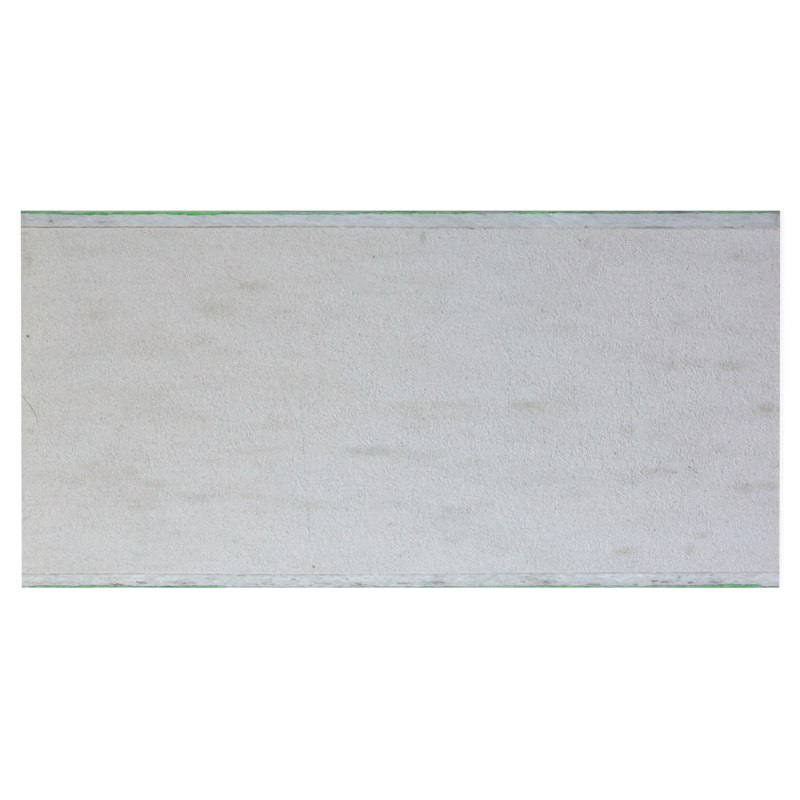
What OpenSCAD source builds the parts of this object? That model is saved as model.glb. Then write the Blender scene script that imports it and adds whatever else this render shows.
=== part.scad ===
// Micro concrete panel, a flat board of cement and light aggregate.
//
// The board is cast in one piece on a moving belt. Its long edges are folded over in
// reinforcing cloth and rolled, which leaves a smooth, slightly thinner jointing band
// along each of them, a shallow groove where the cloth ends, and rounded corners.
// The short ends are sawn square. All sizes are in millimetres.
//
// The board lies flat, with its finished face up. X runs along its length, Y across
// its width and Z up from the underside. The origin is under the middle of the board.

/* [Panel] */
// Length of the panel, from sawn end to sawn end
panel_length = 2440; // [600:10:3050]
// Width of the panel, across its two long edges
panel_width = 1220; // [300:10:1250]
// Thickness of the field, between the bands
panel_thickness = 12.5; // [10:0.5:25]

/* [Jointing bands] */
// Width of the smooth band along the back edge, groove included
back_band_width = 53; // [30:1:90]
// Width of the smooth band along the front edge, groove included
front_band_width = 47; // [30:1:90]
// Loss of thickness from the inner side of a band to the long edge
band_taper = 1.2; // [0.4:0.1:2]

/* [Groove where the edge cloth ends] */
// Width of the groove at the surface
groove_width = 3; // [1.5:0.5:6]
// Depth of the groove at its middle
groove_depth = 0.4; // [0.1:0.1:0.7]

/* [Long edges] */
// Radius of the upper corner, on the finished face
upper_radius = 5; // [2:0.5:5]
// Radius of the lower corner, on the underside
lower_radius = 2; // [1:0.5:3]

/* [Hidden] */
$fn = 96;

// The rolled corners meet the flat faces in a faint crease: each arc's centre lies
// this much nearer to the face than its radius.
corner_crease = 0.05;
// How far a cutting shape reaches out of the board
cut_margin = 2;

// Height of a band at a distance in from its long edge.
function band_height(inward, band_width) =
    panel_thickness - band_taper * (1 - inward / (band_width - groove_width));

// Outline of one long edge with sharp corners, as [distance inward, height], going up.
function edge_outline(band_width) = [
    [0, 0],
    [0, band_height(0, band_width)],
    [band_width - groove_width, panel_thickness]
];

// What is cut off a sharp corner to round it, with the corner itself at the origin
// and the board above and to the right of it.
module corner_cut(radius) {
    centre = radius - corner_crease;
    difference() {
        translate([-cut_margin, -cut_margin])
            square(centre + cut_margin);
        translate([centre, centre])
            circle(r = radius);
    }
}

// What is cut away along the inner side of a band: a circle sunk into the surface
// until its chord is the groove's width.
module groove_cut() {
    radius = (pow(groove_width / 2, 2) + pow(groove_depth, 2)) / (2 * groove_depth);
    translate([0, radius - groove_depth])
        circle(r = radius);
}

// All that is cut away along one long edge, drawn from that edge inward. The upper
// corner is rounded down from the height that the band has over its arc's centre.
module edge_cuts(band_width) {
    corner_cut(lower_radius);
    translate([0, band_height(upper_radius - corner_crease, band_width)])
        mirror([0, 1])
            corner_cut(upper_radius);
    translate([band_width - groove_width / 2, panel_thickness])
        groove_cut();
}

// Section across the panel, with the width to the right and the height up.
module panel_section() {
    front = edge_outline(front_band_width);
    back = edge_outline(back_band_width);
    half_width = panel_width / 2;
    difference() {
        polygon(concat(
            [for (p = front) [p[0] - half_width, p[1]]],
            [for (i = [len(back) - 1:-1:0]) [half_width - back[i][0], back[i][1]]]
        ));
        translate([-half_width, 0])
            edge_cuts(front_band_width);
        translate([half_width, 0])
            mirror([1, 0])
                edge_cuts(back_band_width);
    }
}

// The whole panel: its section drawn out along X.
module panel() {
    color([0.75, 0.76, 0.77])
        rotate([90, 0, 90])
            linear_extrude(panel_length, center = true)
                panel_section();
}

panel();
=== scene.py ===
import math

import bmesh
import bpy
import numpy as np
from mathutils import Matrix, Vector


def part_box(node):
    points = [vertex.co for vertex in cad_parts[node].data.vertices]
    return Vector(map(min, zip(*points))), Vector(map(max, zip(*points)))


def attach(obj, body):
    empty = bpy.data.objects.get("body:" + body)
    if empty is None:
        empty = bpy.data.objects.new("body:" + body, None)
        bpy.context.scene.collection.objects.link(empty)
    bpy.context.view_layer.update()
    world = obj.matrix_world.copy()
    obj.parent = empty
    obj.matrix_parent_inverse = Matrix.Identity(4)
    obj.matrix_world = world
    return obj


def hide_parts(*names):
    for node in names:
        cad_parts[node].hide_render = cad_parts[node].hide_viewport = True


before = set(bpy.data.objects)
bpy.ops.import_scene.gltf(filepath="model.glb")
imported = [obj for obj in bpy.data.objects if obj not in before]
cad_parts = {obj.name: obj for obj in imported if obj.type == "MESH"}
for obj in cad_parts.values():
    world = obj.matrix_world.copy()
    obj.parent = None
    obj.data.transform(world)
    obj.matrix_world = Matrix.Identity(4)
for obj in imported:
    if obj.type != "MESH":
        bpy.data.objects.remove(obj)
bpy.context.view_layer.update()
low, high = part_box("panel")
length, width, thickness = high - low
half_length = length / 2
half_width = width / 2


# ----------------------------------------
# The board. Cement and light aggregate are cast on a belt between two reinforcing
# cloths. The cloth is folded over along the long edges and rolled smooth, which
# leaves a thinner band and a groove there, and the short ends are sawn.
# ----------------------------------------

back_band = 0.053
front_band = 0.047
band_taper = 0.0012
groove_width = 0.003
groove_depth = 0.0004
upper_radius = 0.005
lower_radius = 0.002
worn_arris = 0.0008
underside_rim = 0.01
# A point this near to a line counts as lying on it.
tiny = 1e-6

# The cloth's edge wanders on a real board. This is how far the groove has moved towards
# the field from its plain place, in mm by share of the length.
back_lean = [
    (0, 0.9), (0.2, 0.6), (0.36, -0.3), (0.44, -0.1), (0.52, 1.7), (0.6, 2.2), (0.68, 1.6),
    (0.78, 2.9), (0.88, 3.6), (1, 3.2),
]
front_lean = [
    (0, -0.7), (0.03, -0.6), (0.08, 0.9), (0.13, 1), (0.22, 0), (0.34, -2), (0.43, -2),
    (0.5, -0.8), (0.58, 0.2), (0.67, 3.2), (0.73, 3.5), (0.79, 4.1), (0.88, 4.8), (1, 6.4),
]

# How many faces the mesh has along the board, across the field and over each part of
# a long edge
columns = 400
field_rows = 182
groove_steps = 4
band_steps = 7
upper_steps = 5
lower_steps = 3


def select_points(piece, wanted):
    """Selects the points of a piece in edit mode whose place passes a test."""
    bpy.ops.mesh.select_all(action="DESELECT")
    shell = bmesh.from_edit_mesh(piece.data)
    for point in shell.verts:
        point.select = wanted(point.co)
    shell.select_flush(True)
    bmesh.update_edit_mesh(piece.data)


def long_edge_path(band):
    """The surface from the field out over one band, down its edge and a little way under
    it, as (distance in from the long edge, height) pairs."""
    inner = band - groove_width
    slope = math.atan(band_taper / inner)
    arc_height = (thickness - band_taper
                  + upper_radius * (math.tan(slope) - 1 / math.cos(slope)))
    arc_start = upper_radius * (1 - math.sin(slope))
    path = [(band, thickness)]
    for k in range(1, groove_steps + 1):
        across = k / groove_steps
        sunk = groove_depth * (1 - (2 * across - 1) ** 2)
        path.append((band - groove_width * across, thickness - sunk))
    for k in range(1, band_steps + 1):
        inward = inner - (inner - arc_start) * k / band_steps
        path.append((inward, thickness - band_taper * (1 - inward / inner)))
    for k in range(1, upper_steps + 1):
        turn = slope + (math.pi / 2 - slope) * k / upper_steps
        path.append((upper_radius * (1 - math.sin(turn)),
                     arc_height + upper_radius * math.cos(turn)))
    for k in range(lower_steps + 1):
        turn = math.pi / 2 * k / lower_steps
        path.append((lower_radius * (1 - math.cos(turn)),
                     lower_radius * (1 - math.sin(turn))))
    path.append((underside_rim, 0))
    return path


field_length = length - 2 * worn_arris
field_width = width - back_band - front_band
bpy.ops.mesh.primitive_grid_add(x_subdivisions=columns, y_subdivisions=field_rows, size=1)
board = bpy.context.object
board.name = "board"
bpy.ops.object.mode_set(mode="EDIT")
bpy.ops.transform.resize(value=(field_length, field_width, 1))
bpy.ops.transform.translate(value=(0, (front_band - back_band) / 2, thickness))

for band, side in ((front_band, -1), (back_band, 1)):
    border = side * (half_width - band)
    select_points(board, lambda place: abs(place.y - border) < tiny)
    path = long_edge_path(band)
    for here, there in zip(path, path[1:]):
        step = (0, side * (here[0] - there[0]), there[1] - here[1])
        bpy.ops.mesh.extrude_edges_move(TRANSFORM_OT_translate={"value": step})

select_points(board, lambda place: place.z < tiny
              and abs(place.y) < half_width - underside_rim + tiny)
bpy.ops.mesh.bridge_edge_loops()

for side in (-1, 1):
    select_points(board, lambda place: place.x * side > field_length / 2 - tiny)
    bpy.ops.mesh.extrude_edges_move(
        TRANSFORM_OT_translate={"value": (side * worn_arris, 0, 0)})
    bpy.ops.transform.resize(
        value=(1, 1 - 2 * worn_arris / width, 1 - 2 * worn_arris / thickness),
        center_override=(side * half_length, 0, thickness / 2))
    bpy.ops.mesh.edge_face_add()

bpy.ops.mesh.select_all(action="SELECT")
bpy.ops.mesh.normals_make_consistent(inside=False)
bpy.ops.object.mode_set(mode="OBJECT")


# The board is unrolled flat, the finished face with both long edges in one part, then
# the underside and the two sawn ends in strips beside it.

face_share = 0.8
underside_share = 0.12
strip_share = 0.03
strip_gap = 0.01
# Normals of the sawn ends have more than end_facing along X. Those of the underside and
# its corners have less than under_facing along Z.
end_facing = 0.9
under_facing = -0.1
corner_margin = 0.001


def unroll(place, normal):
    """Where a point of a face with this normal comes to lie on the unrolled sheet."""
    along = (place.x + half_length) / length
    reach = half_width + thickness
    if abs(normal.x) > end_facing:
        strip = face_share + underside_share + strip_gap
        strip += 0 if normal.x < 0 else strip_share + strip_gap
        return (place.y + half_width) / width, strip + strip_share * place.z / thickness
    if normal.z < under_facing:
        over = abs(place.y) + place.z
        across = 0.5 + 0.5 * math.copysign(over / reach, place.y)
        return along, face_share + underside_share * across
    drop = max(0, thickness - band_taper - place.z)
    if abs(place.y) < half_width - upper_radius - corner_margin:
        drop = 0
    across = 0.5 + 0.5 * math.copysign((abs(place.y) + drop) / reach, place.y)
    return along, face_share * across


sheet = board.data.uv_layers.new(name="OFBake")
for face in board.data.polygons:
    for corner in face.loop_indices:
        place = board.data.vertices[board.data.loops[corner].vertex_index].co
        sheet.data[corner].uv = unroll(place, face.normal)


# The casting is not quite flat: the field has a shallow pebbled relief from the belt,
# the bands have long creases from the rolled cloth, and the grooves lean and wander.
# Each relief fades out towards its borders, over border_fade on the field.

places = np.empty(len(board.data.vertices) * 3, np.float32)
board.data.vertices.foreach_get("co", places)
places = places.reshape(-1, 3)
from_end = half_length - np.abs(places[:, 0])
from_front = places[:, 1] + half_width
from_back = half_width - places[:, 1]
on_top = places[:, 2] > thickness / 2


def ease(value, start, end):
    """Rises smoothly from 0 at start to 1 at end."""
    share = np.clip((value - start) / (end - start), 0, 1)
    return share * share * (3 - 2 * share)


def push(piece, name, strength, direction, weights, middle=0, pattern=None, guide=None):
    """Moves points along one axis by strength times their weight, and times what a
    pattern, placed by a guide, has over its middle there."""
    group = piece.vertex_groups.new(name=name)
    for index in np.nonzero(weights > 0)[0]:
        group.add([int(index)], float(weights[index]), "REPLACE")
    move = piece.modifiers.new(name, "DISPLACE")
    if pattern:
        move.texture = pattern
        move.texture_coords = "OBJECT"
        move.texture_coords_object = guide
    move.direction = direction
    move.mid_level = middle
    move.strength = strength
    move.vertex_group = group.name
    bpy.ops.object.modifier_apply(modifier=name)
    piece.vertex_groups.remove(piece.vertex_groups[name])


def displace(piece, name, direction, weights, grain, strength, depth=0, middle=1,
             stretch=(1, 1, 1)):
    """Moves the weighted points along one axis by a cloud pattern of the given grain."""
    pattern = bpy.data.textures.new(name, "CLOUDS")
    pattern.noise_scale = grain
    pattern.noise_depth = depth
    bpy.ops.object.empty_add(location=(0, 0, 0))
    guide = bpy.context.object
    guide.scale = stretch
    piece.select_set(True)
    bpy.context.view_layer.objects.active = piece
    push(piece, name, strength, direction, weights, middle, pattern, guide)
    bpy.data.objects.remove(guide)


def lean_at(along, lean):
    """How far a groove has moved towards the field at places along the length, in metres."""
    shares, moves = zip(*lean)
    return np.interp(along / length + 0.5, shares, moves) / 1000


largest_lean = 0.0065
lean_fade = 0.03
for side, from_edge, band, lean in ((-1, from_front, front_band, front_lean),
                                    (1, from_back, back_band, back_lean)):
    near_groove = (ease(from_edge, band - lean_fade, band - 0.0035)
                   * ease(from_edge, band + lean_fade, band + 0.0005) * on_top)
    moves = lean_at(places[:, 0], lean) / largest_lean
    for way in (1, -1):
        push(board, "lean", -side * way * largest_lean, "Y",
             near_groove * np.clip(way * moves, 0, 1))

border_fade = 0.012
clear_of_ends = ease(from_end, 0.001, border_fade) * on_top
field_weight = (ease(from_front, front_band, front_band + border_fade)
                * ease(from_back, back_band, back_band + border_fade) * clear_of_ends)
displace(board, "pebbled relief", "Z", field_weight, grain=0.02, strength=0.0006)
displace(board, "slow waves", "Z", field_weight, grain=0.16, strength=0.0007)

for name, from_edge, band in (("front", from_front, front_band), ("back", from_back, back_band)):
    cloth_weight = (ease(from_edge, 0.004, 0.01) * ease(band - from_edge, 0.003, 0.008)
                    * clear_of_ends)
    displace(board, name + " creases", "Z", cloth_weight, grain=0.02, strength=0.0008,
             depth=1, stretch=(9, 1, 1))
    groove_weight = (ease(from_edge, band - 0.004, band - 0.0029)
                     * ease(from_edge, band + 0.0009, band - 0.0001) * clear_of_ends)
    displace(board, name + " groove wander", "Y", groove_weight, grain=0.09, strength=0.0016,
             depth=1, middle=0.5)

# A few chips are broken off the upper arris of the sawn ends, given as the end, the place
# across and the half length, in mm. Each slopes down and outward.
chips = [
    (1, 417, 4), (1, 369, 8), (1, 314, 5), (1, 281, 5), (1, 13, 4), (1, -31, 5), (-1, 16, 4),
]
chip_depth = 0.002
chip_reach = 0.0022
for end, middle_y, half_size in chips:
    near_chip = np.exp(-((places[:, 1] * 1000 - middle_y) / half_size) ** 2)
    near_chip *= on_top * (places[:, 0] * end > 0)
    push(board, "chip slope", -chip_depth, "Z", near_chip * (from_end < worn_arris / 2))
    push(board, "chip border", -end * chip_reach, "X",
         near_chip * (from_end > worn_arris / 2) * (from_end < worn_arris * 2))

bpy.ops.object.shade_smooth_by_angle(angle=math.radians(40))


# Dirty marks are painted on the points of the finished face: soft smears lengthwise,
# given as middle along and across, half length, half width (all in mm) and strength.
# Two of them, at the chips on the right end, are painted shade in the chips.

field_marks = [
    (-475, 366, 50, 20, 0.75), (-603, 294, 62, 24, 0.9), (-973, 273, 50, 20, 0.68),
    (-635, 197, 40, 26, 0.4), (-378, 286, 48, 16, 0.35), (-676, -54, 70, 20, 0.43),
    (-410, -86, 78, 18, 0.45), (-92, -167, 100, 16, 1.15), (-66, -171, 38, 9, 1.2),
    (40, -180, 110, 20, 0.4), (240, -208, 60, 16, 0.5), (402, -18, 52, 15, 1.05),
    (-784, -272, 54, 17, 0.65), (-845, -348, 48, 15, 0.42), (-635, -313, 92, 17, 0.6),
    (-491, -309, 50, 16, 0.55), (-282, -340, 80, 17, 0.5), (187, -358, 58, 20, 0.52),
    (262, -338, 48, 10, 0.55), (201, -405, 30, 30, 0.2), (169, -458, 32, 14, 0.7),
    (338, -482, 56, 13, 0.35), (571, -305, 45, 13, 0.38), (724, -491, 32, 13, 1.4),
    (835, -231, 60, 14, 0.78), (941, -228, 30, 12, 0.55), (1030, -164, 32, 20, 0.5),
    (1110, -284, 32, 17, 1.12), (1190, -280, 40, 15, 0.95), (1174, -30, 38, 18, 1.25),
    (1070, 111, 60, 18, 0.88), (869, 111, 30, 20, 0.8), (940, 120, 55, 18, 0.65),
    (901, 250, 36, 26, 0.75), (829, 237, 20, 14, 0.5), (1070, 229, 45, 17, 0.45),
    (1078, 460, 28, 12, 0.82), (595, 504, 28, 16, 0.75), (619, 431, 20, 15, 0.62),
    (458, 286, 18, 18, 0.42), (523, 229, 46, 16, 0.42), (130, 378, 70, 26, 0.3),
    (-1197, 446, 24, 40, 0.95), (900, 370, 26, 16, 0.65), (877, 447, 24, 16, 0.2),
    (788, 512, 32, 24, 0.25), (724, -103, 22, 22, 0.58), (150, -14, 70, 16, 0.35),
    (-507, -167, 100, 13, 0.25), (973, -439, 24, 10, 0.85), (933, -487, 15, 12, 1.2),
    (-989, 480, 100, 15, 0.3), (-764, 536, 90, 13, 0.42), (-1070, -5, 95, 13, 0.24),
    (-925, 36, 80, 18, 0.16), (-790, -20, 40, 40, 0.25), (-555, 156, 60, 12, 0.34),
    (-330, 148, 60, 14, 0.32), (-265, 237, 44, 14, 0.42), (-201, 447, 44, 20, 0.3),
    (-105, 512, 60, 14, 0.32), (-281, -22, 70, 13, 0.24), (-603, -200, 40, 12, 0.36),
    (475, -256, 44, 14, 0.34), (555, 35, 22, 12, 0.4), (716, 156, 22, 28, 0.22),
    (812, 75, 26, 40, 0.42), (-763, -393, 20, 6, 0.75), (-1187, -100, 12, 8, 0.9),
    (-881, -40, 20, 34, 0.42), (-905, -110, 22, 34, 0.34), (-940, -175, 26, 30, 0.34),
    (-990, -225, 32, 26, 0.36), (-1045, -268, 36, 22, 0.34), (-1100, -300, 40, 18, 0.24),
    (-838, -170, 22, 28, 0.12), (-872, -225, 28, 26, 0.42), (-915, -268, 32, 22, 0.28),
    (-975, -340, 34, 20, 0.22), (-1200, -385, 16, 7, 0.36), (120, 546, 160, 9, 0.22),
    # The marks at (1216, 434) and (1214, -31) are painted shade in the chips, not dirt.
    (812, 130, 22, 30, 0.1), (73, 524, 7, 16, 4.5), (1216, 434, 6, 7, 1.4), (1214, -31, 7, 7, 1.4),
    (-1208, 538, 14, 5, 2.2),
]
band_marks = [
    (-1080, -592, 28, 5, 0.55), (-915, -600, 34, 6, 0.85), (-827, -596, 17, 6, 0.9),
    (-700, -597, 38, 7, 0.75), (-515, -574, 15, 5, 0.6), (-423, -600, 24, 6, 0.6),
    (-341, -585, 14, 5, 0.9), (-245, -598, 44, 6, 0.45), (-126, -598, 70, 9, 0.75),
    (-167, -581, 10, 5, 0.5), (0, -596, 34, 8, 0.65), (110, -594, 52, 10, 0.95),
    (111, -575, 8, 6, 0.9), (346, -597, 12, 6, 0.5), (306, -568, 12, 5, 0.45),
    (427, -578, 28, 8, 0.55), (475, -590, 24, 10, 0.95), (592, -587, 8, 6, 0.55),
    (620, -597, 44, 7, 0.85), (760, -598, 20, 7, 0.75), (840, -590, 66, 12, 0.85),
    (797, -577, 8, 6, 0.75), (896, -577, 9, 6, 0.95), (880, -593, 14, 7, 0.95),
    (935, -592, 14, 7, 0.95), (1015, -592, 32, 7, 0.8), (1003, -568, 10, 5, 0.55),
    (1090, -588, 34, 10, 0.35), (1184, -597, 9, 6, 0.5), (-960, -580, 60, 5, 0.35),
    (-1150, -592, 50, 5, 0.3), (240, -598, 50, 5, 0.45), (540, -598, 40, 6, 0.5),
    (-1124, 577, 7, 12, 0.75), (-950, 574, 26, 6, 0.4), (76, 590, 48, 10, 0.55),
    (224, 556, 10, 4, 0.8), (-162, 549, 8, 4, 0.6), (881, 577, 14, 4, 0.35),
    (1208, 600, 14, 12, 0.8), (-1212, 575, 10, 34, 0.45), (-700, 600, 60, 5, 0.35),
    (-250, 592, 90, 5, 0.25), (430, 586, 70, 6, 0.35), (640, 594, 60, 5, 0.4),
    (930, 590, 60, 6, 0.35), (1100, 585, 60, 5, 0.3), (60, 600, 60, 5, 0.5),
    (-305, -592, 60, 10, 0.45), (580, -591, 50, 6, 0.3), (1212, 566, 8, 9, 0.8),
]
mark_fade = 1.2

board.data.vertices.foreach_get("co", places.reshape(-1))
along_mm = places[:, 0] * 1000
across_mm = places[:, 1] * 1000
dirt_and_shade = np.zeros(len(places), np.float32)
for middle_x, middle_y, reach_x, reach_y, strength in field_marks + band_marks:
    spread = ((along_mm - middle_x) / reach_x) ** 2 + ((across_mm - middle_y) / reach_y) ** 2
    dirt_and_shade = np.maximum(dirt_and_shade, strength * np.exp(-mark_fade * spread))
dirt_and_shade *= on_top
painted = board.data.attributes.new("dirt_and_shade", "FLOAT", "POINT")
painted.data.foreach_set("value", dirt_and_shade)


# Shader nodes. Each call adds one step to a material or to a group.

def opaque(colour):
    """A colour or a grey value as red, green, blue and alpha."""
    if isinstance(colour, (int, float)):
        colour = (colour, colour, colour)
    return *colour, 1


def feed(tree, inputs, values):
    """Links named or numbered inputs to other steps' outputs, or writes plain values on
    them. A colour may be given as one grey value."""
    for name, value in values.items():
        socket = inputs[name]
        if isinstance(value, bpy.types.NodeSocket):
            tree.links.new(value, socket)
        elif socket.type == "RGBA":
            socket.default_value = opaque(value)
        else:
            socket.default_value = value


def put(tree, kind, values=None, **settings):
    """Adds a shader node with its settings, and feeds its inputs."""
    step = tree.nodes.new("ShaderNode" + kind)
    for name, value in settings.items():
        setattr(step, name, value)
    feed(tree, step.inputs, values or {})
    return step


def arithmetic(tree, operation, first, second=0.5, third=0.5, clamp=False):
    """One step of arithmetic on outputs or plain numbers."""
    return put(tree, "Math", {0: first, 1: second, 2: third},
               operation=operation, use_clamp=clamp).outputs[0]


def times(tree, first, second, clamp=False):
    """The product of two values."""
    return arithmetic(tree, "MULTIPLY", first, second, clamp=clamp)


def times_plus(tree, first, second, third):
    """The product of two values, plus a third."""
    return arithmetic(tree, "MULTIPLY_ADD", first, second, third)


def minus(tree, first, second):
    """What is left of one value after taking away another."""
    return arithmetic(tree, "SUBTRACT", first, second)


def distance_from(tree, value, middle):
    """How far a value is from a middle one, on either side."""
    return arithmetic(tree, "ABSOLUTE", minus(tree, value, middle))


def share_of(tree, distance, size):
    """A distance from the board's middle as a share of its size, from 0 to 1."""
    return arithmetic(tree, "ADD", arithmetic(tree, "DIVIDE", distance, size), 0.5)


def axes_of(tree, place):
    """The three coordinates of a place."""
    return put(tree, "SeparateXYZ", {0: place}).outputs


def rise(tree, value, start, end, low_value=0, high_value=1):
    """Goes smoothly from low_value at start to high_value at end."""
    return put(tree, "MapRange",
               {"Value": value, "From Min": start, "From Max": end,
                "To Min": low_value, "To Max": high_value},
               interpolation_type="SMOOTHSTEP").outputs["Result"]


def ramp(tree, factor, entries):
    """A colour ramp with one entry per (position, colour or grey value)."""
    step = put(tree, "ValToRGB", {"Fac": factor})
    while len(step.color_ramp.elements) < len(entries):
        step.color_ramp.elements.new(0.5)
    for element, (position, colour) in zip(step.color_ramp.elements, entries):
        element.position = position
        element.color = opaque(colour)
    return step.outputs["Color"]


def tint(tree, factor, below, above, blend="MIX"):
    """Lays one colour over another by a factor."""
    return put(tree, "Mix", {0: factor, 6: below, 7: above},
               data_type="RGBA", blend_type=blend).outputs[2]


def stain(tree, colour, shade, factor=1):
    """Multiplies a colour by a shade, as far as the factor says."""
    return tint(tree, factor, colour, shade, "MULTIPLY")


def noise(tree, place, scale, detail=2, roughness=0.5):
    """A cloud pattern between 0 and 1."""
    return put(tree, "TexNoise",
               {"Vector": place, "Scale": scale, "Detail": detail,
                "Roughness": roughness}).outputs["Fac"]


def stretched(tree, place, size, turn=0):
    """Coordinates turned about Z and then stretched by size along their own axes."""
    return put(tree, "Mapping",
               {"Vector": place, "Rotation": (0, 0, turn), "Scale": size},
               vector_type="TEXTURE").outputs["Vector"]


def clouds(tree, place, size, detail=2, roughness=0.5, turn=0):
    """A cloud pattern whose clouds have the given size along each axis, in metres."""
    return noise(tree, stretched(tree, place, size, turn), 1, detail, roughness)


def new_group(name, inputs, outputs):
    """An empty node group with named inputs (some with a first value) and outputs."""
    group = bpy.data.node_groups.new(name, "ShaderNodeTree")
    for way, sockets in (("INPUT", inputs), ("OUTPUT", outputs)):
        for socket_name, kind, *first_value in sockets:
            socket = group.interface.new_socket(
                name=socket_name, in_out=way, socket_type="NodeSocket" + kind)
            if first_value:
                socket.default_value = first_value[0]
    given = group.nodes.new("NodeGroupInput").outputs
    wanted = group.nodes.new("NodeGroupOutput").inputs
    return group, given, wanted


def use_group(tree, group, **values):
    """Places a node group in a material and feeds its inputs."""
    return put(tree, "Group", values, node_tree=group).outputs


def new_material(name):
    """A material with only its surface shader, its tree and the object coordinates."""
    material = bpy.data.materials.new(name)
    material.use_nodes = True
    tree = material.node_tree
    return material, tree, put(tree, "TexCoord").outputs["Object"]


def finish_surface(tree, colour, height, roughness, shine):
    """Feeds a material's surface. The height of its relief is in metres."""
    relief = put(tree, "Bump", {"Strength": 1, "Distance": 1, "Height": height})
    feed(tree, tree.nodes["Principled BSDF"].inputs, {
        "Base Color": colour, "Normal": relief.outputs["Normal"], "Roughness": roughness,
        "Specular IOR Level": shine})


# Cement colour: warm and dull at the left end and cooler towards the right, with streaks
# and soft clouds that run lengthwise, the way it was cast. It is also lighter to the
# front and darker to the back: painted light, the falloff of the front lamp's light.

cement_tone, given, wanted = new_group(
    "cement tone", [("Place", "Vector"), ("Cloudiness", "Float", 1)], [("Color", "Color")])
tree = cement_tone
place = given["Place"]
axes = axes_of(tree, place)
drift = times_plus(tree, noise(tree, place, 1.6, 3, 0.6), 0.2, -0.1)
along = share_of(tree, axes["X"], length)
lengthwise = ramp(tree, arithmetic(tree, "ADD", along, drift), [
    (0, (0.553, 0.556, 0.551)), (0.22, (0.558, 0.563, 0.562)),
    (0.42, (0.558, 0.569, 0.578)), (0.64, (0.543, 0.565, 0.588)),
    (0.8, (0.543, 0.553, 0.583)), (0.97, (0.531, 0.533, 0.579))])
ends = ramp(tree, along, [
    (0, (1.055, 1.05, 1.035)), (0.009, (1.026, 1.024, 1)),
    (0.024, (1.026, 1.022, 1)), (0.045, (1.012, 1.012, 1.008)),
    (0.065, (0.998, 0.998, 1)), (0.97, 1),
    (1, (0.984, 0.962, 0.962))])
# Painted light: lighter towards the front and darker towards the back, as the front lamp's light
# falls off, with a slight change of hue.
painted_front_light_and_tone = ramp(tree, share_of(tree, axes["Y"], width), [
    (0, (0.979, 0.997, 1.016)), (0.1, (0.977, 0.993, 1.009)), (0.25, (0.965, 0.974, 0.984)),
    (0.5, 0.95), (0.75, (0.933, 0.93, 0.928)), (0.86, (0.928, 0.925, 0.923)),
    (0.905, (0.906, 0.904, 0.9)), (0.935, (0.908, 0.907, 0.904)),
    (0.957, (0.926, 0.922, 0.921)), (1, (0.925, 0.921, 0.92))])
colour = stain(tree, stain(tree, lengthwise, ends), painted_front_light_and_tone)
colour = stain(tree, colour, (1.062, 1.06, 1.06))
for size, start, end, shade in (
        ((0.34, 0.1, 0.34), 0.42, 0.7, (0.948, 0.944, 0.925)),
        ((0.15, 0.022, 0.15), 0.5, 0.72, (0.965, 0.958, 0.94))):
    cloudy = rise(tree, clouds(tree, place, size, 4, 0.6), start, end)
    colour = stain(tree, colour, shade, times(tree, cloudy, given["Cloudiness"]))
hue = rise(tree, clouds(tree, place, (0.4, 0.13, 0.4), 3, 0.6), 0.38, 0.64)
colour = stain(tree, colour, tint(tree, hue, (0.995, 1.003, 1.008), (1.005, 0.997, 0.993)))
feed(tree, wanted, {"Color": colour})


# Pebbled relief, in metres: clouds of a few millimetres to a few centimetres that lean
# along the strokes that the belt's film left. It lies about as much below as above zero,
# so a patch of stronger relief is not a bump.

pebbles, given, wanted = new_group(
    "pebbled relief", [("Place", "Vector"), ("Scale", "Float"), ("Height", "Float")],
    [("Height", "Float")])
tree = pebbles
stroke_turn = math.radians(-60)
small_scale = 4.3
small_share = 1.1
usual_height = 1.05
strokes = stretched(tree, given["Place"], (1.15, 1, 1), stroke_turn)
body = noise(tree, strokes, given["Scale"], 1, 1)
small = noise(tree, strokes, times(tree, given["Scale"], small_scale), 0)
body = minus(tree, times_plus(tree, small, small_share, body), usual_height)
feed(tree, wanted, {"Height": times(tree, body, given["Height"])})


# Pores: round pits of uneven size, in some of the cells of a random pattern.

pores, given, wanted = new_group(
    "pores",
    [("Place", "Vector"), ("Scale", "Float"), ("Size", "Float"), ("Share", "Float")],
    [("Mask", "Float")])
tree = pores
cells = put(tree, "TexVoronoi",
            {"Vector": given["Place"], "Scale": given["Scale"]}, feature="F1")
lots = put(tree, "SeparateColor", {0: cells.outputs["Color"]}).outputs
chosen = arithmetic(tree, "LESS_THAN", lots["Red"], given["Share"])
reach = times(tree, times_plus(tree, lots["Green"], 0.7, 0.4), given["Size"])
hole = arithmetic(tree, "DIVIDE", cells.outputs["Distance"], reach)
feed(tree, wanted, {"Mask": times(tree, rise(tree, hole, 1, 0.45), chosen)})


# Hairlines: a thin line between two points on the finished face. The place that it is
# given has been shaken a little, so that the line wanders.

def vector_step(tree, operation, first, second, output="Vector"):
    """One step of arithmetic on vectors."""
    return put(tree, "VectorMath", {0: first, 1: second},
               operation=operation).outputs[output]


def scaled(tree, vector, amount):
    """A vector made longer or shorter."""
    return put(tree, "VectorMath", {0: vector, "Scale": amount},
               operation="SCALE").outputs["Vector"]


hairline, given, wanted = new_group(
    "hairline",
    [("Place", "Vector"), ("Start", "Vector"), ("End", "Vector"), ("Width", "Float")],
    [("Mask", "Float")])
tree = hairline
run = vector_step(tree, "SUBTRACT", given["End"], given["Start"])
offset = vector_step(tree, "SUBTRACT", given["Place"], given["Start"])
travelled = arithmetic(
    tree, "DIVIDE", vector_step(tree, "DOT_PRODUCT", offset, run, "Value"),
    vector_step(tree, "DOT_PRODUCT", run, run, "Value"), clamp=True)
away = vector_step(tree, "DISTANCE", offset, scaled(tree, run, travelled), "Value")
line = arithmetic(tree, "DIVIDE", away, given["Width"])
feed(tree, wanted, {"Mask": rise(tree, line, 1, 0.3)})


shake_grain = 60
shake_reach = 0.008


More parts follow.
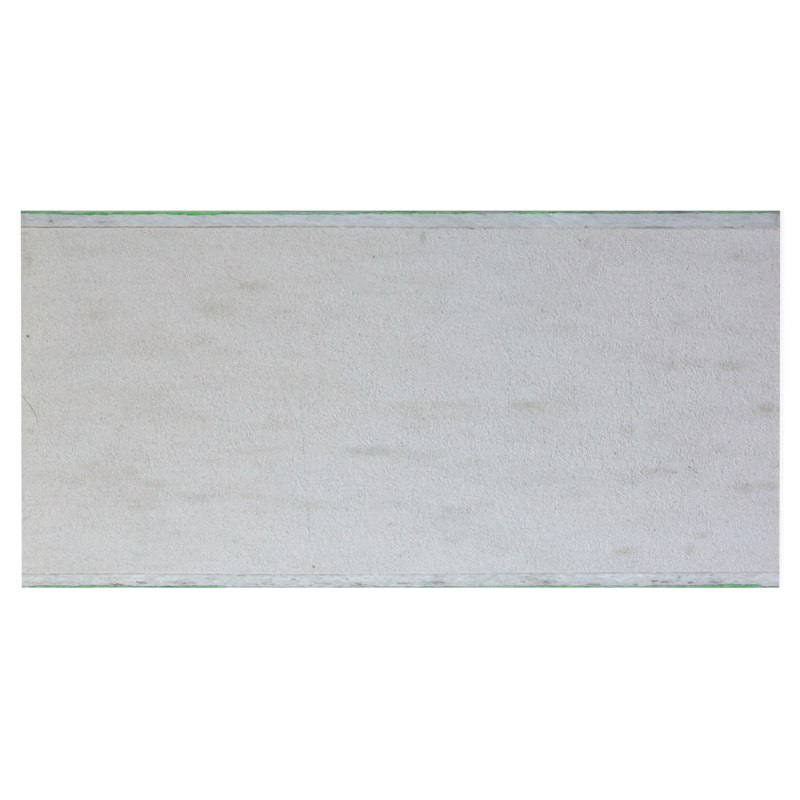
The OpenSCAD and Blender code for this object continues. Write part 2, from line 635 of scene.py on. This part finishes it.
def shaken_place(tree, place):
    """The place on the finished face, moved by a few millimetres at random."""
    wobble = put(tree, "TexNoise",
                 {"Vector": place, "Scale": shake_grain, "Detail": 3}).outputs["Color"]
    wobble = vector_step(tree, "SUBTRACT", wobble, (0.5, 0.5, 0.5))
    moved = vector_step(tree, "ADD", place, scaled(tree, wobble, shake_reach))
    return vector_step(tree, "MULTIPLY", moved, (1, 1, 0))


def drawn_lines(tree, shaken, lines):
    """The strongest of some hairlines: start, end, half width (all in mm), strength."""
    strongest = None
    for start_x, start_y, end_x, end_y, reach, strength in lines:
        mask = use_group(
            tree, hairline, Place=shaken, Width=reach / 1000,
            Start=(start_x / 1000, start_y / 1000, 0),
            End=(end_x / 1000, end_y / 1000, 0))["Mask"]
        mask = times(tree, mask, strength)
        if strongest is not None:
            mask = arithmetic(tree, "MAXIMUM", mask, strongest)
        strongest = mask
    return strongest


# The groove line: dirt and painted shade lie in the groove, dirt lies in a fainter pair
# of lines beside it, and a painted highlight runs along the field side. Across is
# measured from the middle of the groove towards the field.

groove_line, given, wanted = new_group(
    "groove line", [("Place", "Vector"), ("Across", "Float"), ("Sway", "Float")],
    [("Crisp", "Float"), ("Soft", "Float"), ("Ridge", "Float")])
tree = groove_line
pair_place = 0.0046
highlight_place = 0.0042
sway = minus(tree, clouds(tree, given["Place"], (0.06, 1, 1), 3, 0.6), 0.5)
across = times_plus(tree, sway, given["Sway"], given["Across"])
from_middle = arithmetic(tree, "ABSOLUTE", across)
gaps = clouds(tree, given["Place"], (0.025, 0.006, 1), 4, 0.7)
crisp = times(tree, rise(tree, from_middle, 0.0026, 0.0012),
              rise(tree, gaps, 0.36, 0.6, 0.35, 1.25), clamp=True)
from_pair = distance_from(tree, from_middle, pair_place)
pair = times(tree, rise(tree, from_pair, 0.003, 0.0006), rise(tree, gaps, 0.4, 0.6))
from_highlight = distance_from(tree, across, highlight_place)
painted_highlight = rise(tree, from_highlight, 0.0022, 0.0006)
feed(tree, wanted, {"Crisp": crisp, "Soft": pair, "Ridge": painted_highlight})


# A ramp holds values from 0 to 1. A width or a move in mm is divided by this before it
# goes in, so that one ramp spans 20 mm.
ramp_span = 20


def leaning(tree, along, lean):
    """How far a groove has moved towards the field, in metres, by share of the length."""
    moved = ramp(tree, along, [(share, 0.5 + move / ramp_span) for share, move in lean])
    return times_plus(tree, moved, ramp_span / 1000, -ramp_span / 2000)


def groove_marks(tree, place, colour, side, band, lists):
    """Lays the dirt, painted shade and painted highlight of one groove over a colour. The
    lists give its lean, its sway, and the strengths of the crisp line, the soft pair and
    the painted highlight."""
    lean, sway, crisp, soft, painted_highlight = lists
    axes = axes_of(tree, place)
    along = share_of(tree, axes["X"], length)
    across = times_plus(tree, axes["Y"], -side, half_width - band + groove_width / 2)
    across = minus(tree, across, leaning(tree, along, lean))
    line = use_group(tree, groove_line, Place=place, Across=across, Sway=sway)
    # Painted highlight: a lighter line along the field side of the groove.
    light = times(tree, line["Ridge"], ramp(tree, along, painted_highlight))
    colour = stain(tree, colour, 1.25, light)
    faint = times(tree, line["Soft"], ramp(tree, along, soft))
    colour = stain(tree, colour, (0.55, 0.54, 0.52), faint)
    # The crisp line is dirt in the groove together with painted shade there.
    dark = times(tree, line["Crisp"], ramp(tree, along, crisp))
    return tint(tree, dark, colour, (0.115, 0.095, 0.08))


back_groove = (
    back_lean, 0.0018,
    [(0, 0.78), (0.13, 0.74), (0.28, 0.74), (0.34, 0.58), (0.4, 0.54), (0.46, 0.46), (0.55, 0.46),
     (0.62, 0.34), (0.66, 0.22), (0.74, 0.1), (0.76, 0.3), (0.79, 0.45), (0.82, 0.62), (0.85, 0.5),
     (0.88, 0.24), (0.92, 0.3), (0.935, 0.45), (0.955, 0.2), (1, 0.12)],
    [(0, 0.03), (0.15, 0.06), (0.18, 0.18), (0.34, 0.22), (0.45, 0.28), (0.55, 0.5), (0.66, 0.36),
     (0.8, 0.4), (0.92, 0.38), (1, 0.35)],
    [(0, 0.42), (0.45, 0.38), (0.6, 0.18), (1, 0.12)])
front_groove = (
    front_lean, 0.001,
    [(0, 0.34), (0.14, 0.38), (0.18, 0.26), (0.26, 0.18), (0.3, 0.38), (0.4, 0.46), (0.44, 0.22),
     (0.48, 0.24), (0.55, 0.14), (0.62, 0.3), (0.72, 0.14), (0.78, 0.38), (0.9, 0.28), (1, 0.3)],
    [(0, 0.1), (0.5, 0.08), (1, 0.08)],
    [(0, 0.55), (0.22, 0.5), (0.4, 0.4), (0.6, 0.3), (1, 0.3)])


# The finished field: cement with dark pits, brown dirt caught in the relief, and a few
# hairlines. Dimples and pits are darkened by dirt and by painted shade in their hollows.

crack_lines = [
    (-1219, 16, -1192, -18, 1.4, 0.6), (-1192, -18, -1173, -48, 1.8, 0.7),
    (-1173, -48, -1162, -89, 1.4, 0.55), (-1188, -352, -1193, -378, 1.8, 0.3),
    (-1193, -378, -1214, -388, 1.8, 0.35),
]
stain_lines = [
    (-324, 4, -290, -470, 2.4, 0.14), (-320, -5, -319, -30, 2, 0.32),
    (-311, -121, -311, -174, 2.2, 0.38), (-300, -331, -296, -382, 1.8, 0.5),
    (-294, -407, -291, -465, 2.4, 0.32), (221, 557, 233, 553, 4, 0.85),
    (736, 337, 748, -442, 1.8, 0.15), (742, 70, 743, 20, 2.2, 0.3),
    (744, -57, 745, -106, 2.2, 0.24), (746, -212, 748, -350, 1.8, 0.24),
    (1096, 531, 1097, 321, 1.8, 0.08), (-1198, 205, -1196, 204, 6, 0.95),
    (-85, 463, -84, 462, 4.2, 0.8), (455, 289, 456, 288, 4, 0.7),
    (819, -423, 820, -424, 4.2, 0.85), (877, 124, 874, 116, 3.6, 0.6),
    (929, -218, 932, -222, 3.8, 0.75), (876, -236, 878, -235, 3.8, 0.6),
    (952, -235, 955, -237, 3.8, 0.65), (822, -229, 826, -230, 3.6, 0.45),
]
rust_spot = [(-281, -538, -277, -544, 3.8, 0.85)]

field_finish, tree, place = new_material("finished_field")
axes = axes_of(tree, place)
along = share_of(tree, axes["X"], length)
across = share_of(tree, axes["Y"], width)
colour = use_group(tree, cement_tone, Place=place)["Color"]
grain = noise(tree, place, 200, 0)
colour = stain(tree, colour, tint(tree, rise(tree, grain, 0.25, 0.75), 0.94, 1.06))
# Marked dirt, with painted shade at the chips on the right end.
dirt_and_shade_mask = put(tree, "Attribute", attribute_name="dirt_and_shade").outputs["Fac"]
broken = noise(tree, stretched(tree, place, (1.8, 1, 1)), 75, 4, 0.7)
clotted = rise(tree, broken, 0.34, 0.66, 0.45, 1.25)
colour = stain(tree, colour, (0.835, 0.815, 0.745), times(tree, dirt_and_shade_mask, clotted, clamp=True))
patches = noise(tree, place, 42, 2, 0.6)
colour = stain(tree, colour, tint(
    tree, rise(tree, patches, 0.35, 0.65), (1.012, 0.992, 1.01), (0.988, 1.008, 0.99)))

# Dimples and pits: darker by dirt and by painted shade in the hollows.
dimples = use_group(tree, pores, Place=place, Scale=120, Size=0.42, Share=0.5)["Mask"]
gathered = rise(tree, noise(tree, place, 16, 3, 0.6), 0.36, 0.66, 0.55, 1.55)
soiled = times_plus(tree, dirt_and_shade_mask, 0.8, gathered)
colour = stain(tree, colour, (0.82, 0.82, 0.8), times(tree, dimples, soiled, clamp=True))
pits = use_group(tree, pores, Place=place, Scale=52, Size=0.18, Share=0.25)["Mask"]
pit_dirt_and_shade = ramp(tree, along, [
    (0, 0.35), (0.3, 0.4), (0.45, 0.55), (0.7, 0.62), (0.8, 0.8), (1, 0.85)])
colour = stain(tree, colour, (0.48, 0.46, 0.42), times(tree, pits, pit_dirt_and_shade))

colour = groove_marks(tree, place, colour, 1, back_band, back_groove)
colour = groove_marks(tree, place, colour, -1, front_band, front_groove)
shaken = shaken_place(tree, place)
cracks = drawn_lines(tree, shaken, crack_lines)
broken = noise(tree, stretched(tree, place, (1, 2.5, 1)), 110, 2, 0.6)
stained = times(tree, drawn_lines(tree, shaken, stain_lines),
                rise(tree, broken, 0.38, 0.6, 0.35, 1.25), clamp=True)
colour = stain(tree, colour, (0.38, 0.35, 0.29), arithmetic(tree, "MAXIMUM", cracks, stained))
colour = tint(tree, drawn_lines(tree, shaken, rust_spot), colour, (0.21, 0.135, 0.095))

# The relief grows towards the right, is patchy, and fades a little to both long edges.
rightwards = ramp(tree, along, [
    (0, 0.52), (0.15, 0.58), (0.33, 0.67), (0.47, 0.7), (0.6, 0.72), (0.75, 0.82),
    (0.88, 0.9), (0.95, 0.73), (1, 0.66)])
uneven = rise(tree, noise(tree, place, 24, 2), 0.33, 0.67, 0.42, 1.52)
sideways = ramp(tree, across, [
    (0, 0.62), (0.1, 0.7), (0.22, 0.92), (0.4, 1.05), (0.55, 0.98), (0.7, 0.92),
    (0.85, 0.83), (1, 0.76)])
relief_share = times(tree, times(tree, rightwards, uneven), sideways)
height = use_group(tree, pebbles, Place=place, Scale=36, Height=0.00202)["Height"]
height = times(tree, height, relief_share)
for mask, depth in ((dimples, 0.00015), (pits, 0.0009), (cracks, 0.0006)):
    height = times_plus(tree, mask, -depth, height)
finish_surface(tree, colour, height, rise(tree, grain, 0.3, 0.7, 0.88, 0.96), 0.25)


# The bands: cement under rolled cloth, smoother and bluer than the field, with faint
# wisps, specks of dirt towards the edge, and the green paint that coats the long edges
# and runs a little way in.

# Greens of the paint. At the very edge, the pale lime is in places a painted highlight, and the
# blackish green along the front edge's right part is painted shade.
lime = (0.35, 0.72, 0.28)
grass = (0.085, 0.46, 0.115)
emerald = (0.04, 0.42, 0.07)
mint = (0.2, 0.55, 0.21)
leaf = (0.14, 0.41, 0.16)
jade = (0.15, 0.39, 0.24)
sage = (0.25, 0.4, 0.27)
pine = (0.07, 0.27, 0.1)
moss = (0.17, 0.285, 0.19)
clover = (0.04, 0.34, 0.065)
teal = (0.11, 0.28, 0.205)
blackish_green = (0.075, 0.12, 0.09)


def band_finish(name, side, band, cloth_border, cloth_tint, slant, groove, tones, mottling,
                edge_shade, edge_dirt, marks, tan_marks, white_marks_and_glints, paint):
    """The finish of one band. Its tones and the paint's width in mm, cover, colour at the
    very edge and colour farther in all go by share of the length. The colour at the very
    edge includes painted light: a pale painted highlight along the back edge's left part,
    and painted shade along the front edge's right part."""
    material, tree, place = new_material(name)
    axes = axes_of(tree, place)
    along = share_of(tree, axes["X"], length)
    inward = times_plus(tree, axes["Y"], -side, half_width)
    colour = use_group(tree, cement_tone, Place=place, Cloudiness=0.5)["Color"]
    from_groove = minus(tree, leaning(tree, along, groove[0]), inward)
    rolled = rise(tree, from_groove, cloth_border - band, cloth_border + 0.003 - band)
    colour = stain(tree, colour, cloth_tint, rolled)
    colour = stain(tree, colour, ramp(tree, along, tones))

    blotches = clouds(tree, place, (0.055, 0.02, 0.055), 3, 0.6)
    colour = stain(tree, colour, ramp(tree, blotches, [
        (0.3, (0.85, 0.85, 0.835)), (0.44, (0.93, 0.93, 0.925)),
        (0.56, (0.96, 0.962, 0.968)), (0.7, (1.015, 1.02, 1.03))]))
    wisps = clouds(tree, place, (0.035, 0.0065, 0.035), 3, 0.6, slant)
    colour = stain(tree, colour, ramp(tree, wisps, [(0.3, 0.87), (0.46, 0.955), (0.7, 1.02)]))
    mottle = clouds(tree, place, (0.014, 0.005, 0.005), 2, 0.6)
    colour = stain(tree, colour, rise(
        tree, mottle, 0.32, 0.64, 1 - 0.9 * mottling, 1 + 0.7 * mottling))
    colour = stain(tree, colour, rise(tree, inward, 0.027, 0.019, 1, edge_shade))
    grain = rise(tree, noise(tree, place, 150, 0), 0.25, 0.75)
    colour = stain(tree, colour, tint(tree, grain, 1.06, 1.12))
    creased = clouds(tree, place, (0.16, 0.01, 0.01), 2, 0.6)
    fold = rise(tree, distance_from(tree, creased, 0.45), 0.022, 0.004)
    colour = stain(tree, colour, (0.74, 0.73, 0.71), times(tree, fold, 0.25))

    dirt_and_shade_mask = put(tree, "Attribute", attribute_name="dirt_and_shade").outputs["Fac"]
    colour = stain(tree, colour, (0.82, 0.8, 0.77), times(tree, dirt_and_shade_mask, 0.7))
    specks = clouds(tree, place, (0.022, 0.005, 0.005), 3, 0.65, slant / 3)
    soiled = arithmetic(tree, "MAXIMUM", dirt_and_shade_mask, rise(tree, inward, 0.022, 0.005, 0, edge_dirt))
    speckled = minus(tree, specks, times_plus(tree, soiled, -0.25, 0.7))
    shaken = shaken_place(tree, place)
    broken = clouds(tree, place, (0.012, 0.006, 0.006), 2, 0.6)
    marked = times(tree, drawn_lines(tree, shaken, marks),
                   rise(tree, broken, 0.34, 0.6, 0.45, 1.15), clamp=True)
    speckled = arithmetic(tree, "MAXIMUM", rise(tree, speckled, -0.02, 0.1), marked)
    colour = stain(tree, colour, (0.42, 0.39, 0.36), speckled)
    colour = stain(tree, colour, (0.8, 0.7, 0.52), drawn_lines(tree, shaken, tan_marks))
    # White marks. The one at the front band's left end is a painted glint.
    colour = tint(tree, drawn_lines(tree, shaken, white_marks_and_glints), colour, (0.8, 0.88, 0.88))
    colour = groove_marks(tree, place, colour, side, band, groove)

    paint_width, paint_cover, edge_colours_with_painted_light, inner_colours = paint
    ragged = clouds(tree, place, (0.04, 0.012, 0.012), 5, 0.65)
    border = ramp(tree, along, [(share, reach / ramp_span) for share, reach in paint_width])
    border = times(tree, border, rise(tree, ragged, 0.25, 0.75, 0.0145, 0.0255))
    inside = minus(tree, border, inward)
    patchy = clouds(tree, place, (0.028, 0.004, 0.004), 3, 0.6)
    held = times(tree, ramp(tree, along, paint_cover),
                 rise(tree, patchy, 0.28, 0.62, 0.55, 1.2))
    painted = times(tree, rise(tree, inside, -0.0006, 0.0012), held, clamp=True)
    shifted = minus(tree, times_plus(tree, ragged, 0.03, along), 0.015)
    # Nearest the edge the paint takes its edge colours, which hold painted highlight and painted
    # shade.
    green = tint(tree, rise(tree, inward, 0.0056, 0.0024),
                 ramp(tree, shifted, inner_colours), ramp(tree, shifted, edge_colours_with_painted_light))
    streaks = clouds(tree, place, (0.022, 0.003, 0.003), 3, 0.65)
    green = tint(tree, rise(tree, streaks, 0.52, 0.66, 0, 0.22), green, lime)
    green = tint(tree, rise(tree, streaks, 0.46, 0.34, 0, 0.6), green, (0.04, 0.15, 0.1))
    # Painted shade: a dark teal line along the paint's inner border, as a shadow beneath the
    # paint's edge.
    painted_shade_rim = times(tree, rise(tree, inside, 0.0042, 0.0014),
                rise(tree, ragged, 0.62, 0.42, 0.45, 1))
    green = tint(tree, painted_shade_rim, green, (0.022, 0.115, 0.088))
    colour = tint(tree, painted, colour, green)

    height = times(tree, clouds(tree, place, (0.12, 0.01, 0.01), 3, 0.5), 0.001)
    for mask, depth in ((wisps, 0.001), (fold, -0.0002), (noise(tree, place, 160), 0.0004),
                        (painted, 0.0002)):
        height = times_plus(tree, mask, depth, height)
    finish_surface(tree, colour, height, rise(tree, painted, 0, 1, 0.82, 0.42), 0.3)
    return material


back_marks = [
    (-1211, 594, -1204, 570, 2.4, 0.35), (-967, 573, -948, 572, 2.2, 0.5),
    (-928, 578, -912, 577, 2.2, 0.3), (-211, 597, -180, 596, 2.6, 0.45),
    (255, 601, 276, 596, 4.5, 0.5), (465, 597, 484, 591, 2.2, 0.4), (594, 559, 597, 558, 5.2, 1),
    (604, 556, 606, 555, 3.4, 0.7), (873, 582, 886, 580, 2.4, 0.6),
    (790, 560, 830, 559, 2.2, 0.85), (830, 559, 873, 557, 2.2, 0.75),
    (1044, 558, 1054, 557, 3.4, 0.85), (1060, 557, 1070, 556, 3.4, 0.8),
    (1101, 560, 1103, 559, 3.6, 0.85), (1206, 572, 1214, 600, 6, 0.35),
]
back_tones = [
    (0, (0.92, 0.91, 0.91)), (0.05, (0.93, 0.92, 0.92)), (0.08, 0.95), (0.13, (1, 1.01, 1)),
    (0.3, 0.99), (0.38, (1.05, 1.06, 1.05)), (0.48, 1.01), (0.58, (0.97, 0.96, 0.93)),
    (0.68, (1.02, 1.03, 1.03)), (0.72, (1.01, 1.01, 1.02)), (0.78, (0.95, 0.95, 0.94)),
    (0.87, (0.92, 0.92, 0.91)), (0.92, (0.96, 0.95, 0.93)), (1, (0.88, 0.88, 0.85)),
]
back_paint = (
    [(0, 8), (0.03, 10), (0.045, 10.4), (0.058, 12.6), (0.09, 13.4), (0.165, 12.8), (0.188, 9.2),
     (0.205, 13.8), (0.24, 15.4), (0.263, 11), (0.31, 10.6), (0.35, 11.8), (0.42, 11.6),
     (0.45, 9.6), (0.6, 9.2), (0.64, 8.2), (0.66, 9.2), (0.72, 8.4), (0.8, 9.6), (0.85, 9.8),
     (0.88, 8), (1, 8.2)],
    [(0, 0.95), (0.31, 0.95), (0.34, 0.86), (0.46, 0.86), (0.48, 0.95), (0.59, 0.95), (0.605, 0.6),
     (0.64, 0.72), (0.66, 0.98), (0.7, 0.95), (0.75, 0.85), (0.98, 0.9), (1, 0.75)],
    # At the very edge, the lime along the left part is a painted highlight on the rounded edge.
    [(0, leaf), (0.035, grass), (0.045, grass), (0.06, lime), (0.3, lime), (0.33, sage),
     (0.36, moss), (0.37, sage), (0.39, moss), (0.41, sage), (0.46, sage), (0.49, pine),
     (0.51, blackish_green), (0.53, leaf), (0.59, leaf), (0.62, moss), (0.645, moss), (0.66, leaf),
     (0.69, mint), (0.71, sage), (0.735, moss), (0.8, pine), (0.86, blackish_green), (0.885, pine),
     (0.92, leaf), (0.96, leaf), (0.985, moss), (1, blackish_green)],
    [(0, leaf), (0.03, grass), (0.055, teal), (0.075, leaf), (0.09, clover), (0.17, clover),
     (0.2, emerald), (0.25, emerald), (0.285, clover), (0.31, leaf), (0.33, jade), (0.46, jade),
     (0.48, leaf), (0.5, grass), (0.53, leaf), (0.59, pine), (0.62, moss), (0.65, leaf),
     (0.67, grass), (0.7, grass), (0.72, leaf), (0.75, moss), (0.84, moss), (0.87, blackish_green),
     (0.89, moss), (0.91, leaf), (0.95, leaf), (0.98, teal), (1, moss)])
back_finish = band_finish(
    "back_band", 1, back_band, 0.009, (0.925, 0.988, 1.055), math.radians(-20), back_groove,
    tones=back_tones, mottling=0.035, edge_shade=1, edge_dirt=0.25, marks=back_marks,
    tan_marks=[(-1129, 592, -1122, 580, 3.2, 0.75), (-1122, 580, -1114, 567, 3.2, 0.85),
               (-1122, 580, -1131, 568, 3, 0.5), (209, 559, 219, 556, 3.6, 0.9)],
    white_marks_and_glints=[(483, 602, 485, 601, 3.8, 0.9)],
    paint=back_paint)

front_marks = [
    (-1212, -591, -909, -602, 1.8, 0.25), (-1153, -581, -1031, -594, 1.8, 0.32),
    (-1105, -589, -1070, -590, 2.6, 0.4), (-941, -596, -890, -601, 2.8, 0.75),
    (-851, -590, -816, -595, 3, 0.75), (-748, -591, -697, -594, 2.8, 0.4),
    (-684, -594, -655, -595, 2.6, 0.45), (-648, -581, -600, -582, 2.2, 0.35),
    (-523, -568, -497, -571, 2.6, 0.55), (-446, -594, -404, -600, 3.4, 0.42),
    (-352, -581, -336, -582, 2.6, 0.8), (-275, -594, -220, -597, 2.8, 0.6),
    (-174, -581, -170, -581, 3, 0.75), (-160, -602, -80, -604, 2.8, 0.6),
    (-137, -599, -127, -599, 3.4, 0.7), (-8, -594, 31, -595, 3, 0.6),
    (101, -589, 146, -592, 3.6, 0.55), (112, -574, 114, -574, 3.6, 0.9),
    (388, -590, 401, -591, 3.8, 0.75), (404, -573, 417, -575, 3, 0.65),
    (610, -597, 642, -598, 3.2, 0.7), (751, -599, 764, -599, 3.4, 0.75),
    (822, -587, 829, -587, 3.6, 0.8), (896, -577, 899, -578, 3.6, 0.85),
    (931, -593, 941, -593, 4.4, 0.75), (999, -569, 1006, -567, 3, 0.65),
    (1009, -592, 1022, -592, 4, 0.75), (1028, -599, 1038, -599, 4, 0.75),
]
front_tones = [
    (0, 1.01), (0.1, (1.01, 1.02, 1.02)), (0.22, (0.99, 1, 1)), (0.33, (0.97, 0.98, 0.96)),
    (0.38, (1.02, 1.03, 1.03)), (0.47, (1.02, 1.03, 1.03)), (0.6, (0.96, 0.96, 0.95)),
    (0.68, (0.93, 0.92, 0.89)), (0.76, 1), (0.83, (1.04, 1.03, 1.01)), (0.87, (0.97, 0.97, 0.95)),
    (0.92, (0.94, 0.93, 0.9)), (1, (1.07, 1.06, 1.03)),
]
front_paint = (
    [(0, 7.8), (0.03, 8.8), (0.09, 9.4), (0.13, 8.4), (0.18, 7.6), (0.26, 7.8), (0.28, 5.8),
     (0.42, 5.4), (0.52, 6), (0.6, 6.8), (0.63, 8), (0.8, 8), (0.86, 9), (0.895, 9.6), (0.91, 12),
     (0.945, 12.4), (0.97, 11), (0.985, 7.6), (1, 6.4)],
    [(0, 0.74), (0.03, 0.9), (0.12, 0.92), (0.14, 0.8), (0.19, 0.82), (0.205, 0.98), (0.255, 1.02),
     (0.275, 0.4), (0.41, 0.32), (0.43, 0.48), (0.47, 0.54), (0.51, 0.56), (0.535, 0.76),
     (0.565, 0.72), (0.59, 0.44), (0.62, 0.42), (0.635, 0.5), (0.66, 0.7), (0.69, 0.84),
     (0.71, 0.98), (0.74, 0.78), (0.8, 0.58), (0.815, 0.52), (0.84, 0.78), (0.87, 0.82),
     (0.895, 0.86), (0.905, 0.94), (0.98, 0.92), (1, 0.9)],
    # At the very edge, the blackish green along the right part is painted shade.
    [(0, leaf), (0.05, pine), (0.08, pine), (0.11, grass), (0.14, leaf), (0.17, teal),
     (0.19, pine), (0.205, blackish_green), (0.225, blackish_green), (0.26, pine), (0.28, moss), (0.43, blackish_green),
     (0.5, moss), (0.54, pine), (0.6, moss), (0.63, grass), (0.67, teal), (0.71, leaf),
     (0.8, leaf), (0.83, moss), (0.87, blackish_green), (0.905, pine), (0.93, blackish_green), (0.97, blackish_green),
     (0.985, pine), (1, pine)],
    [(0, leaf), (0.04, leaf), (0.09, grass), (0.12, leaf), (0.16, teal), (0.19, leaf),
     (0.21, jade), (0.265, mint), (0.28, teal), (0.42, moss), (0.5, teal), (0.54, leaf),
     (0.63, leaf), (0.67, teal), (0.7, grass), (0.74, leaf), (0.82, teal), (0.86, leaf),
     (0.895, leaf), (0.915, grass), (0.975, grass), (0.985, teal), (1, moss)])
front_finish = band_finish(
    "front_band", -1, front_band, 0.004, (0.985, 1.02, 1.035), math.radians(-3), front_groove,
    tones=front_tones, mottling=0.11, edge_shade=0.955, edge_dirt=0.46, marks=front_marks,
    tan_marks=[(445, -584, 478, -592, 4, 0.35), (860, -584, 880, -590, 4.5, 0.3)],
    # The white mark at the left end is a painted glint.
    white_marks_and_glints=[(-1209, -604, -1201, -604, 4.2, 0.9)],
    paint=front_paint)


# The sawn ends: grey aggregate in cement, cut through, with the two cloths just inside
# the faces and faint marks of the saw.

cloth_depth = 0.0017
end_finish, tree, place = new_material("sawn_end")
colour = use_group(tree, cement_tone, Place=place)["Color"]
beads = put(tree, "TexVoronoi", {"Vector": place, "Scale": 420}, feature="F1")
lots = put(tree, "SeparateColor", {0: beads.outputs["Color"]}).outputs
stone = times(tree, rise(tree, beads.outputs["Distance"], 0.42, 0.3),
              arithmetic(tree, "LESS_THAN", lots["Red"], 0.55))
shade = ramp(tree, lots["Green"], [
    (0, (0.3, 0.3, 0.29)), (0.6, (0.47, 0.46, 0.44)), (1, (0.66, 0.66, 0.65))])
colour = tint(tree, stone, colour, shade)
holes = use_group(tree, pores, Place=place, Scale=300, Size=0.3, Share=0.18)["Mask"]
colour = tint(tree, holes, colour, (0.16, 0.155, 0.15))
off_middle = distance_from(tree, axes_of(tree, place)["Z"], thickness / 2)
off_cloth = distance_from(tree, off_middle, thickness / 2 - cloth_depth)
threads = clouds(tree, place, (1, 0.0025, 1), 1)
cloth = times(tree, rise(tree, off_cloth, 0.0005, 0.0001), rise(tree, threads, 0.4, 0.55))
colour = tint(tree, cloth, colour, (0.7, 0.71, 0.72))
height = times(tree, clouds(tree, place, (1, 0.0012, 0.02)), 0.0004)
height = times_plus(tree, holes, -0.0006, height)
height = times_plus(tree, stone, 0.0001, height)
finish_surface(tree, colour, height, 0.93, 0.2)


# The underside: the same cement, cast against the belt, plain and a little darker.

underside_finish, tree, place = new_material("underside")
colour = use_group(tree, cement_tone, Place=place)["Color"]
colour = stain(tree, colour, (0.93, 0.93, 0.92))
holes = use_group(tree, pores, Place=place, Scale=90, Size=0.15, Share=0.25)["Mask"]
colour = stain(tree, colour, (0.55, 0.54, 0.52), holes)
height = use_group(tree, pebbles, Place=place, Scale=30, Height=0.002)["Height"]
finish_surface(tree, colour, times_plus(tree, holes, -0.0008, height), 0.92, 0.2)

facing_down = -0.5
finishes = [field_finish, back_finish, front_finish, end_finish, underside_finish]
for finish in finishes:
    board.data.materials.append(finish)
for face in board.data.polygons:
    middle = face.center
    finish = field_finish
    if abs(face.normal.x) > end_facing:
        finish = end_finish
    elif face.normal.z < facing_down and abs(middle.y) < half_width - lower_radius:
        finish = underside_finish
    elif middle.y > half_width - back_band - lean_at(middle.x, back_lean):
        finish = back_finish
    elif middle.y < front_band - half_width + lean_at(middle.x, front_lean):
        finish = front_finish
    face.material_index = finishes.index(finish)

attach(board, "root")
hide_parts("panel")


# ----------------------------------------
# The studio: a plain white floor that keeps the board's soft shadow, one low soft key
# lamp from the left that brings out the relief, and a wide lamp at the front.
# ----------------------------------------

floor_size = 600
floor_grey = 0.24
floor_glow = 0.83
sky_light = 0.43


def seen_directly(tree):
    """1 for rays that show the studio itself, in view or in a mirror, and 0 for the rest."""
    rays = put(tree, "LightPath").outputs
    seen = arithmetic(tree, "ADD", rays["Is Camera Ray"], rays["Is Glossy Ray"])
    return arithmetic(tree, "ADD", seen, rays["Is Transmission Ray"], clamp=True)


bpy.ops.mesh.primitive_plane_add(size=floor_size, location=(0, 0, 0))
floor = bpy.context.object
floor.name = "floor"
floor_finish = bpy.data.materials.new("white_floor")
floor_finish.use_nodes = True
tree = floor_finish.node_tree
feed(tree, tree.nodes["Principled BSDF"].inputs, {
    "Base Color": floor_grey, "Roughness": 1, "Specular IOR Level": 0, "Emission Color": 1,
    "Emission Strength": times(tree, seen_directly(tree), floor_glow)})
floor.data.materials.append(floor_finish)

world = bpy.data.worlds.new("studio")
bpy.context.scene.world = world
world.use_nodes = True
tree = world.node_tree
feed(tree, tree.nodes["Background"].inputs, {
    "Color": 1, "Strength": rise(tree, seen_directly(tree), 0, 1, sky_light, 1)})

key_elevation = math.radians(33)
key_azimuth = math.radians(185)
to_key = Vector((math.cos(key_elevation) * math.cos(key_azimuth),
                 math.cos(key_elevation) * math.sin(key_azimuth),
                 math.sin(key_elevation)))
bpy.ops.object.light_add(
    type="SUN", location=to_key * 5, rotation=to_key.to_track_quat("Z", "Y").to_euler())
key = bpy.context.object
key.name = "key_lamp"
key.data.energy = 2.31
key.data.angle = math.radians(18)

fill_place = Vector((-0.3, -2.6, 1.9))
bpy.ops.object.light_add(
    type="AREA", location=fill_place, rotation=fill_place.to_track_quat("Z", "Y").to_euler())
fill = bpy.context.object
fill.name = "front_lamp"
fill.data.shape = "RECTANGLE"
fill.data.size = 2.5
fill.data.size_y = 1
fill.data.energy = 30
fill.visible_camera = False

# The camera looks almost straight down from far away, a little from the back.
camera_distance = 50
camera_tilt = math.radians(6.1)
aim = Vector((-0.0011, -0.0022, 0))
away = Vector((0, math.sin(camera_tilt), math.cos(camera_tilt)))
bpy.ops.object.camera_add(location=aim + away * camera_distance, rotation=(-camera_tilt, 0, 0))
camera = bpy.context.object
camera.data.lens = 699.3
camera.data.clip_start = 1
camera.data.clip_end = 200
bpy.context.scene.camera = camera
bpy.context.scene.view_settings.view_transform = "Standard"
